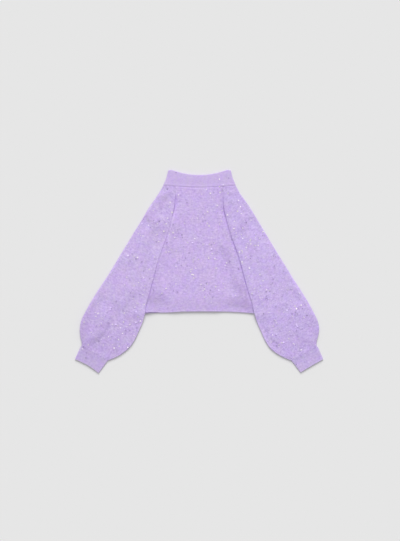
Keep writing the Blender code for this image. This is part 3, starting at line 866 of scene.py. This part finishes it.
def collarEdgeY(x):
    dip = max(1.0 - (x / collar["dipHalfWidth"]) ** 2, 0.0)
    corner = max(abs(x) - collar["dipHalfWidth"], 0.0) / (collar["rows"][-1][1] - collar["dipHalfWidth"])
    return collar["topY"] - collar["dip"] * dip - collar["corner"] * corner ** 2


def makeCollar():
    heights, widths, swells = zip(*collar["rows"])
    rows = []
    for index in range(collar["count"] + 1):
        height = (index / collar["count"]) ** collar["spacing"]
        place = next((k for k in range(len(heights) - 1) if height <= heights[k + 1]), len(heights) - 2)
        place += (height - heights[place]) / (heights[place + 1] - heights[place])
        half, swell = curveAt(widths, place), curveAt(swells, place)
        roll = collar["roll"] * bell((height - collar["rollAt"]) / collar["rollWidth"])

        def rise(across):
            arch = math.sin(math.pi * across)
            return swell * arch + roll * min(arch * collar["rollEnds"], 1.0)

        def spot(x):
            seam = neckSeamY(x) + knit["gap"] / 2 + knit["seamRoom"]
            y = seam + (collarEdgeY(x * widths[-1] / half) - collar["rimRoom"] - seam) * height
            return (x, y), y

        thick = collar["thickness"] - collar["seamThinner"] * (1.0 - smoothStep(height / collar["seamRun"]))
        centre = flatRing(half, thick, collar["frontColumns"], collar["backColumns"], rise)
        rows.append(ringPoints(centre, half, thick, spot, "collar"))
    return buildWall("collarKnit", rows, 0, lambda r, c: collar["rim"] if r else collar["seamRim"])


cuff = {
    # outerX outerY innerX innerY from the sleeve to the open end
    "rows": (
        (421.6, -268.8, 330.1, -320.2), (431.6, -290.6, 345.0, -340.2), (442.5, -315.0, 361.4, -362.3),
    ),
    "thickness": 2.3, "count": 22, "columns": 34, "rim": 0.5, "rimRoom": 0.2, "seamRim": 0.4,
    "length": 50.0, "courseStep": 26.0, "spacing": 1.25,    # above 1, the rows stand closer at the end
    "swell": 0.5, "start": 0.9, "startRun": 0.7,
    "waves": ((0.35, 34.0), (0.25, 19.0)),    # height and pace of the waves that run in from the gathers
    # how far each open end bows in and stops short, and how far its two sides stand out
    "endBow": {1: 1.0, -1: 4.3}, "endShort": {1: 1.7, -1: 0.3},
    "innerOut": {1: -0.3, -1: 1.2}, "outerOut": {1: 0.4, -1: 2.8},
}


def makeCuff(name, side):
    table = list(zip(*cuff["rows"]))
    last = len(cuff["rows"]) - 1
    rows = []
    for index in range(cuff["count"] + 1):
        place = last * (1.0 - (1.0 - index / cuff["count"]) ** cuff["spacing"])
        outerX, outerY, innerX, innerY = (curveAt(column, place) for column in table)
        width = math.hypot(outerX - innerX, outerY - innerY)
        alongX, alongY = (innerX - outerX) / width, (innerY - outerY) / width
        out = cuff["outerOut"][side]
        outerX, outerY = outerX - alongX * out, outerY - alongY * out
        width += out + cuff["innerOut"][side]

        def spot(q):
            distance = q + width / 2
            bow = cuff["endBow"][side] * math.sin(math.pi * distance / width)
            back = smoothStep(place / last) * (bow + cuff["endShort"][side] + cuff["rimRoom"])
            x = outerX + alongX * distance + alongY * back
            y = outerY + alongY * distance - alongX * back
            return (side * x, y), cuff["courseStep"] * place

        def rise(across):
            (tall, quick), (small, slow) = cuff["waves"]
            waves = tall * math.sin(across * quick + side) + small * math.sin(across * slow + 1.0)
            start = cuff["start"] * (1.0 - smoothStep(place / cuff["startRun"]))
            swell = cuff["swell"] + (1.0 - place / last) * waves + start
            return swell * math.sin(math.pi * across) ** 0.5

        centre = flatRing(width / 2, cuff["thickness"], cuff["columns"], cuff["columns"], rise)
        # painted light at the cuff's open end
        paintedLightShade = edgePaintedLightAndShade["cuff"] * bell((last - place) * cuff["length"] / last / edgePaintedLightAndShade["reach"])
        rows.append(ringPoints(centre, width / 2, cuff["thickness"], spot, "cuff", paintedLightShade))
    return buildWall(name, rows, 0, lambda r, c: cuff["rim"] if r == cuff["count"] else cuff["seamRim"])


def addNode(tree, kind, values=(), **settings):
    # values go into the node's inputs in order: a socket is linked, a number is set, None is left
    node = tree.nodes.new(kind)
    for key, value in settings.items():
        setattr(node, key, value)
    for socket, value in zip(node.inputs, values):
        if isinstance(value, bpy.types.NodeSocket):
            tree.links.new(value, socket)
        elif value is not None:
            socket.default_value = value
    return node


def maths(tree, operation, *values):
    return addNode(tree, "ShaderNodeMath", values, operation=operation).outputs[0]


def link(tree, source, target):
    tree.links.new(source, target)


def setInputs(shader, values):
    for name, value in values.items():
        shader.inputs[name].default_value = value


# scale, detail and roughness of each noise
grain = {
    "wander": (210.0, 2.0, 0.5), "wanderMore": (170.0, 2.0, 0.6), "fuzz": (1500.0, 3.0, 0.65),
    "tufts": (420.0, 3.0, 0.6), "streaks": (190.0, 2.0, 0.6), "clouds": (26.0, 3.0, 0.6),
    "heather": (130.0, 3.0, 0.65), "hue": (55.0, 4.0, 0.8), "pink": (34.0, 2.0, 0.5),
    "foil": (2600.0, 1.0, 0.5),
}


def noiseAt(tree, vector, kind):
    scale, detail, rough = grain[kind]
    node = addNode(tree, "ShaderNodeTexNoise")
    link(tree, vector, node.inputs["Vector"])
    node.inputs["Scale"].default_value = scale
    node.inputs["Detail"].default_value = detail
    node.inputs["Roughness"].default_value = rough
    return node.outputs["Fac"]


def addBump(tree, shader, height, strength, depth):
    bump = addNode(tree, "ShaderNodeBump")
    bump.inputs["Strength"].default_value = strength
    bump.inputs["Distance"].default_value = depth * mm
    link(tree, height, bump.inputs["Height"])
    link(tree, bump.outputs["Normal"], shader.inputs["Normal"])


brushed = {
    "wale": 2.6, "course": 2.0, "slant": 0.55, "pinch": 0.42, "wander": 1.3,
    "fuzz": 0.55, "tufts": 0.8, "bump": 0.75, "relief": 0.7,
    "streakLength": 0.42, "streaks": 0.46, "clouds": 0.10, "heather": 0.50, "tuftTone": 0.36,
    "stitchTone": 0.07, "stitchMean": 0.35,
    "deep": (0.657, 0.490, 0.928), "pale": (0.665, 0.543, 0.847), "pink": 0.10,
    "hueSpread": 3.4, "hueByTone": 3.0, "bright": 1.004, "tint": (1.014, 1.0, 1.026),
    "rough": 0.84, "fuzzRough": 0.12,
    "finish": {
        "Specular IOR Level": 0.22, "Sheen Weight": 0.2, "Sheen Roughness": 0.45,
        "Sheen Tint": (0.93, 0.88, 1.0, 1.0),
    },
    "paintedShadeEnds": (),                # start, end and how much painted shade darkens the colour on the way, along the wales
}
# the sleeves are painted a little darker towards the cuff and at the neck: painted shade
rightArm = dict(brushed, bright=1.0, tint=(1.0, 1.0, 1.004),
                paintedShadeEnds=((0.22, 0.42, 0.065), (-0.04, -0.22, 0.045)))
leftArm = dict(rightArm, tint=(1.0, 1.0, 1.026), paintedShadeEnds=((0.24, 0.43, 0.05), (-0.04, -0.22, 0.05)))
hemmed = dict(brushed, bright=1.002, wale=2.3, course=1.8, wander=0.9, heather=0.36)
plain = dict(brushed, bright=0.99, wale=2.2, course=1.8, wander=0.9, streaks=0.2, heather=0.22,
             tuftTone=0.2, tufts=0.5, relief=0.55, tint=(1.0, 1.0, 1.0))
# the cuffs are painted darker than the sleeves, the right one more: painted shade low down
leftRib = dict(plain, bright=0.935, slant=0.25, course=1.9, streaks=0.34, heather=0.32, tuftTone=0.3,
               tint=(0.99, 1.0, 1.014))
rightRib = dict(leftRib, bright=0.915, tint=(0.99, 1.0, 0.99))


def knitMaterial(name, look):
    material = bpy.data.materials.new(name)
    material.use_nodes = True
    tree = material.node_tree
    shader = tree.nodes["Principled BSDF"]
    place = addNode(tree, "ShaderNodeTexCoord").outputs["Object"]
    flat = addNode(tree, "ShaderNodeUVMap", uv_map="knit").outputs["UV"]
    parts = addNode(tree, "ShaderNodeSeparateXYZ", [flat])

    def add(value, amount, base):
        return maths(tree, "MULTIPLY_ADD", value, amount, base)

    def swing(kind, vector=place):
        return maths(tree, "SUBTRACT", noiseAt(tree, vector, kind), 0.5)

    # the yarn wanders a little from its rows
    u = add(swing("wander"), look["wander"] * mm, parts.outputs["X"])
    v = add(swing("wanderMore"), look["wander"] * mm, parts.outputs["Y"])
    # a stitch is a V of two slanted legs
    wale = maths(tree, "FRACT", maths(tree, "DIVIDE", u, look["wale"] * mm))
    across = maths(tree, "ABSOLUTE", add(wale, 2.0, -1.0))
    leg = maths(tree, "SINE", maths(tree, "MULTIPLY", across, math.pi))
    course = add(across, look["slant"], maths(tree, "DIVIDE", v, look["course"] * mm))
    beat = maths(tree, "COSINE", maths(tree, "MULTIPLY", course, 2 * math.pi))
    stitch = maths(tree, "MULTIPLY", leg, add(beat, look["pinch"], 1.0 - look["pinch"]))
    fuzz = noiseAt(tree, place, "fuzz")
    tufts = noiseAt(tree, place, "tufts")
    relief = add(tufts, look["tufts"], add(fuzz, look["fuzz"], stitch))
    addBump(tree, shader, relief, look["bump"], look["relief"])
    # streaks along the courses, cloudy patches and single hairs
    along = maths(tree, "MULTIPLY", parts.outputs["X"], look["streakLength"])
    streakPlace = addNode(tree, "ShaderNodeCombineXYZ", [along, parts.outputs["Y"]]).outputs[0]
    tone = add(swing("streaks", streakPlace), look["streaks"], 1.0)
    tone = add(swing("clouds"), look["clouds"], tone)
    tone = add(swing("heather"), look["heather"], tone)
    tone = add(maths(tree, "SUBTRACT", tufts, 0.5), look["tuftTone"], tone)
    tone = add(stitch, look["stitchTone"], tone)
    # the painted shade and painted light from the mesh darken or lighten the yarn
    paintedShading = addNode(tree, "ShaderNodeAttribute", attribute_name="deeper").outputs["Fac"]
    tone = maths(tree, "SUBTRACT", tone, paintedShading)
    # painted shade along the wales towards each end
    for start, end, drop in look["paintedShadeEnds"]:
        nearEnd = addNode(tree, "ShaderNodeMapRange", [parts.outputs["Y"], start, end, 0.0, drop],
                          interpolation_type="SMOOTHSTEP")
        tone = maths(tree, "SUBTRACT", tone, nearEnd.outputs["Result"])
    level = maths(tree, "SUBTRACT", tone, look["stitchTone"] * look["stitchMean"])
    shade = maths(tree, "MULTIPLY", level, look["bright"])
    # the darker the tone, painted shade and painted light included, the more violet it is
    blend = add(swing("hue"), look["hueSpread"], 0.5)
    blend = add(maths(tree, "SUBTRACT", tone, 1.0), look["hueByTone"], blend)
    hue = addNode(tree, "ShaderNodeMix", data_type="RGBA")
    link(tree, blend, hue.inputs["Factor"])
    hue.inputs["A"].default_value = (*look["deep"], 1.0)
    hue.inputs["B"].default_value = (*look["pale"], 1.0)
    pink = add(swing("pink"), look["pink"], look["tint"][0])
    tint = addNode(tree, "ShaderNodeCombineXYZ", [pink, *look["tint"][1:]]).outputs[0]
    tinted = addNode(tree, "ShaderNodeVectorMath", [hue.outputs["Result"], tint], operation="MULTIPLY")
    scaled = addNode(tree, "ShaderNodeVectorMath", [tinted.outputs["Vector"]], operation="SCALE")
    link(tree, shade, scaled.inputs["Scale"])
    link(tree, scaled.outputs["Vector"], shader.inputs["Base Color"])
    link(tree, add(fuzz, look["fuzzRough"], look["rough"]), shader.inputs["Roughness"])
    setInputs(shader, look["finish"])
    return material


# the sequins are lilac with painted reflections: at random from a dark violet where one would mirror shade
# to a cream white painted glint where one would catch the lamp
foilLook = {
    "paintedGlintStops": (
        (0.0, (0.42, 0.32, 0.60)), (0.16, (0.54, 0.42, 0.74)), (0.30, (0.64, 0.51, 0.87)),
        (0.60, (0.72, 0.60, 0.91)), (0.74, (0.84, 0.76, 0.90)), (1.0, (0.93, 0.87, 0.86)),
    ),
    "bump": 0.2, "relief": 0.1,
    "finish": {"Metallic": 0.2, "Roughness": 0.5, "Coat Weight": 0.14, "Coat Roughness": 0.3},
}


def sequinMaterial():
    material = bpy.data.materials.new("sequinFoil")
    material.use_nodes = True
    tree = material.node_tree
    shader = tree.nodes["Principled BSDF"]
    tone = addNode(tree, "ShaderNodeAttribute", attribute_name="tone").outputs["Fac"]
    ramp = addNode(tree, "ShaderNodeValToRGB", [tone])
    first, *between, last = foilLook["paintedGlintStops"]
    for element, (position, colour) in zip(ramp.color_ramp.elements, (first, last)):
        element.position = position
        element.color = (*colour, 1.0)
    for position, colour in between:
        ramp.color_ramp.elements.new(position).color = (*colour, 1.0)
    link(tree, ramp.outputs["Color"], shader.inputs["Base Color"])
    place = addNode(tree, "ShaderNodeTexCoord").outputs["Object"]
    addBump(tree, shader, noiseAt(tree, place, "foil"), foilLook["bump"], foilLook["relief"])
    setInputs(shader, foilLook["finish"])
    return material


sequins = {
    "radius": 2.2, "hole": 0.32, "cup": 0.36, "sides": 8, "edge": 0.12,
    "perSquareMetre": 12500.0, "tilt": 21.0, "proud": 0.85, "smallest": 0.6, "largest": 1.38,
    "pressed": 0.15,       # how much of it still stands out below where the sweater rests
    "seed": 11,            # the first piece's, and each of the next has one more
    "draws": {"tone": 5, "size": 7, "leanX": 11, "leanY": 13, "spin": 17},    # added to the seed for each
}


def makeSequin():
    # a cupped disc with a hole, closed all round
    mesh = bmesh.new()
    rings = []
    hole = sequins["hole"]
    for radius, height in ((sequins["radius"], sequins["cup"]), (hole, 0.0), (hole, sequins["edge"])):
        ring = []
        for k in range(sequins["sides"]):
            angle = 2 * math.pi * k / sequins["sides"]
            point = radius * math.cos(angle) * mm, radius * math.sin(angle) * mm, height * mm
            ring.append(mesh.verts.new(point))
        rings.append(ring)
    for near, far in zip(rings, rings[1:] + rings[:1]):
        for k in range(sequins["sides"]):
            following = (k + 1) % sequins["sides"]
            mesh.faces.new((near[k], near[following], far[following], far[k]))
    bmesh.ops.recalc_face_normals(mesh, faces=mesh.faces)
    data = bpy.data.meshes.new("sequinShape")
    mesh.to_mesh(data)
    mesh.free()
    piece = bpy.data.objects.new("sequinShape", data)
    bpy.context.scene.collection.objects.link(piece)
    return piece


def addSocket(tree, name, kind, value=None, output=False):
    way = "OUTPUT" if output else "INPUT"
    socket = tree.interface.new_socket(name=name, in_out=way, socket_type=kind)
    if value is not None:
        socket.default_value = value
    return socket.identifier


def sequinTree(material):
    tree = bpy.data.node_groups.new("sequinScatter", "GeometryNodeTree")
    tree.is_modifier = True
    addSocket(tree, "Geometry", "NodeSocketGeometry")
    sockets = {
        "shape": addSocket(tree, "Sequin", "NodeSocketObject"),
        "density": addSocket(tree, "Per square metre", "NodeSocketFloat", sequins["perSquareMetre"]),
        "tilt": addSocket(tree, "Tilt", "NodeSocketFloat", math.radians(sequins["tilt"])),
        "proud": addSocket(tree, "Proud", "NodeSocketFloat", sequins["proud"] * mm),
        "smallest": addSocket(tree, "Smallest", "NodeSocketFloat", sequins["smallest"]),
        "largest": addSocket(tree, "Largest", "NodeSocketFloat", sequins["largest"]),
        "seed": addSocket(tree, "Seed", "NodeSocketInt", sequins["seed"]),
    }
    addSocket(tree, "Geometry", "NodeSocketGeometry", output=True)
    given = tree.nodes.new("NodeGroupInput").outputs
    room = addNode(tree, "GeometryNodeInputNamedAttribute", ["sequinRoom"], data_type="FLOAT")
    density = maths(tree, "MULTIPLY", room.outputs["Attribute"], given["Per square metre"])
    scatter = addNode(tree, "GeometryNodeDistributePointsOnFaces", distribute_method="RANDOM")
    link(tree, given["Geometry"], scatter.inputs["Mesh"])
    link(tree, density, scatter.inputs["Density"])
    link(tree, given["Seed"], scatter.inputs["Seed"])

    def drawn(what, low, high):
        node = addNode(tree, "FunctionNodeRandomValue", data_type="FLOAT")
        live = [s for s in node.inputs if s.enabled]
        for socket, value in zip(live, (low, high)):
            if isinstance(value, bpy.types.NodeSocket):
                link(tree, value, socket)
            else:
                socket.default_value = value
        step = float(sequins["draws"][what])
        link(tree, maths(tree, "ADD", given["Seed"], step), node.inputs["Seed"])
        return next(s for s in node.outputs if s.enabled)

    # each sequin's random place on that ramp of painted reflections
    tone = addNode(tree, "GeometryNodeStoreNamedAttribute", data_type="FLOAT", domain="POINT")
    link(tree, scatter.outputs["Points"], tone.inputs["Geometry"])
    tone.inputs["Name"].default_value = "tone"
    link(tree, drawn("tone", 0.0, 1.0), tone.inputs["Value"])
    out = addNode(tree, "ShaderNodeVectorMath", [scatter.outputs["Normal"]], operation="SCALE")
    link(tree, given["Proud"], out.inputs["Scale"])
    raised = addNode(tree, "GeometryNodeSetPosition")
    link(tree, tone.outputs["Geometry"], raised.inputs["Geometry"])
    link(tree, out.outputs["Vector"], raised.inputs["Offset"])
    shape = addNode(tree, "GeometryNodeObjectInfo")
    link(tree, given["Sequin"], shape.inputs["Object"])
    instances = addNode(tree, "GeometryNodeInstanceOnPoints")
    link(tree, raised.outputs["Geometry"], instances.inputs["Points"])
    link(tree, shape.outputs["Geometry"], instances.inputs["Instance"])
    link(tree, scatter.outputs["Rotation"], instances.inputs["Rotation"])
    link(tree, drawn("size", given["Smallest"], given["Largest"]), instances.inputs["Scale"])
    turned = addNode(tree, "GeometryNodeRotateInstances")
    link(tree, instances.outputs["Instances"], turned.inputs["Instances"])
    low = maths(tree, "MULTIPLY", given["Tilt"], -1.0)
    leanX, leanY = drawn("leanX", low, given["Tilt"]), drawn("leanY", low, given["Tilt"])
    lean = addNode(tree, "ShaderNodeCombineXYZ", [leanX, leanY, drawn("spin", 0.0, 2 * math.pi)])
    link(tree, lean.outputs[0], turned.inputs["Rotation"])
    joined = addNode(tree, "GeometryNodeRealizeInstances")
    link(tree, turned.outputs["Instances"], joined.inputs["Geometry"])
    at = addNode(tree, "ShaderNodeSeparateXYZ", [addNode(tree, "GeometryNodeInputPosition").outputs[0]])
    sunk = maths(tree, "MULTIPLY", at.outputs["Z"], sequins["pressed"])
    height = maths(tree, "MAXIMUM", at.outputs["Z"], sunk)
    pressed = addNode(tree, "GeometryNodeSetPosition")
    link(tree, joined.outputs["Geometry"], pressed.inputs["Geometry"])
    kept = addNode(tree, "ShaderNodeCombineXYZ", [at.outputs["X"], at.outputs["Y"], height])
    link(tree, kept.outputs[0], pressed.inputs["Position"])
    finish = addNode(tree, "GeometryNodeSetMaterial")
    finish.inputs["Material"].default_value = material
    link(tree, pressed.outputs["Geometry"], finish.inputs["Geometry"])
    result = tree.nodes.new("NodeGroupOutput")
    link(tree, finish.outputs["Geometry"], result.inputs["Geometry"])
    return tree, sockets


def scatterSequins(name, cloth, shape, tree, sockets, seed):
    carrier = cloth.copy()
    carrier.data = cloth.data.copy()
    bpy.context.scene.collection.objects.link(carrier)
    nodes = carrier.modifiers.new("sequins", "NODES")
    nodes.node_group = tree
    nodes[sockets["shape"]] = shape
    nodes[sockets["seed"]] = seed
    piece = settle(carrier, name)
    print(name, len(piece.data.polygons), "faces")
    return piece


def settle(source, name):
    # what the modifiers make becomes a plain mesh of its own
    bpy.context.view_layer.update()
    graph = bpy.context.evaluated_depsgraph_get()
    data = bpy.data.meshes.new_from_object(
        source.evaluated_get(graph), preserve_all_data_layers=True, depsgraph=graph)
    data.name = name
    piece = bpy.data.objects.new(name, data)
    bpy.context.scene.collection.objects.link(piece)
    bpy.data.objects.remove(source)
    return piece


studio = {
    "aim": (0.0018, 0.0034), "height": 5.372, "lens": 100.0, "sensor": 36.0,
    "sky": 0.54, "lamp": 2.40, "lampSpread": 34.0, "lampTilt": 54.0, "lampTurn": 88.0,
    "floor": 0.80, "floorHalf": 20.0, "floorLevel": -0.0004,
}


def setStudio():
    camera = bpy.data.objects.new("camera", bpy.data.cameras.new("camera"))
    camera.data.lens = studio["lens"]
    camera.data.sensor_width = studio["sensor"]
    camera.location = (*studio["aim"], studio["height"])
    bpy.context.scene.collection.objects.link(camera)
    bpy.context.scene.camera = camera

    world = bpy.data.worlds.new("studioSky")
    world.use_nodes = True
    sky = world.node_tree.nodes["Background"]
    sky.inputs["Color"].default_value = (1.0, 1.0, 1.0, 1.0)
    sky.inputs["Strength"].default_value = studio["sky"]
    bpy.context.scene.world = world

    lamp = bpy.data.objects.new("softLamp", bpy.data.lights.new("softLamp", "SUN"))
    lamp.data.energy = studio["lamp"]
    lamp.data.angle = math.radians(studio["lampSpread"])
    # from above, the far side and the wearer's left
    tilt, turn = math.radians(studio["lampTilt"]), math.radians(studio["lampTurn"])
    towards = Vector((math.sin(tilt) * math.cos(turn), math.sin(tilt) * math.sin(turn), math.cos(tilt)))
    lamp.rotation_euler = towards.to_track_quat("Z", "Y").to_euler()
    bpy.context.scene.collection.objects.link(lamp)

    data = bpy.data.meshes.new("floor")
    half, level = studio["floorHalf"], studio["floorLevel"]
    corners = [(x * half, y * half, level) for x, y in ((-1, -1), (1, -1), (1, 1), (-1, 1))]
    data.from_pydata(corners, [], [(0, 1, 2, 3)])
    floor = bpy.data.objects.new("floor", data)
    bpy.context.scene.collection.objects.link(floor)
    paper = bpy.data.materials.new("floorPaper")
    paper.use_nodes = True
    colour = (studio["floor"],) * 3 + (1.0,)
    setInputs(paper.node_tree.nodes["Principled BSDF"], {
        "Base Color": colour, "Roughness": 1.0, "Specular IOR Level": 0.0})
    data.materials.append(paper)
    bpy.context.scene.view_settings.view_transform = "Standard"


setStudio()
print("studio ready")

pieces = {
    "backKnit": (makePanel("backKnit", 5, 0.0, False), "back_panel", "body_knit", brushed),
    "frontKnit": (makePanel("frontKnit", 4, knit["layer"], True), "front_panel", "body_knit", brushed),
    "leftSleeveKnit": (makeSleeve("leftSleeveKnit", 1), "sleeve_left", "sleeve_knit", leftArm),
    "rightSleeveKnit": (makeSleeve("rightSleeveKnit", -1), "sleeve_right", "sleeve_knit", rightArm),
    "leftCuffKnit": (makeCuff("leftCuffKnit", 1), "cuff_left", "cuff_knit", leftRib),
    "rightCuffKnit": (makeCuff("rightCuffKnit", -1), "cuff_right", "cuff_knit", rightRib),
    "collarKnit": (makeCollar(), "collar", "collar_knit", plain),
}

shape = makeSequin()
foil = sequinMaterial()
tree, sockets = sequinTree(foil)
for number, (name, (cloth, node, slot, look)) in enumerate(pieces.items()):
    cloth.data.materials.append(knitMaterial(name + "Yarn", look))
    if slot == "body_knit":
        cloth.data.materials.append(knitMaterial(name + "HemYarn", hemmed))
    spangles = scatterSequins(name.replace("Knit", "Sequins"), cloth, shape, tree, sockets,
                              sequins["seed"] + number)
    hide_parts(node)
    for piece in (cloth, spangles):
        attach(piece, "root")
bpy.data.objects.remove(shape)
print("sweater ready")
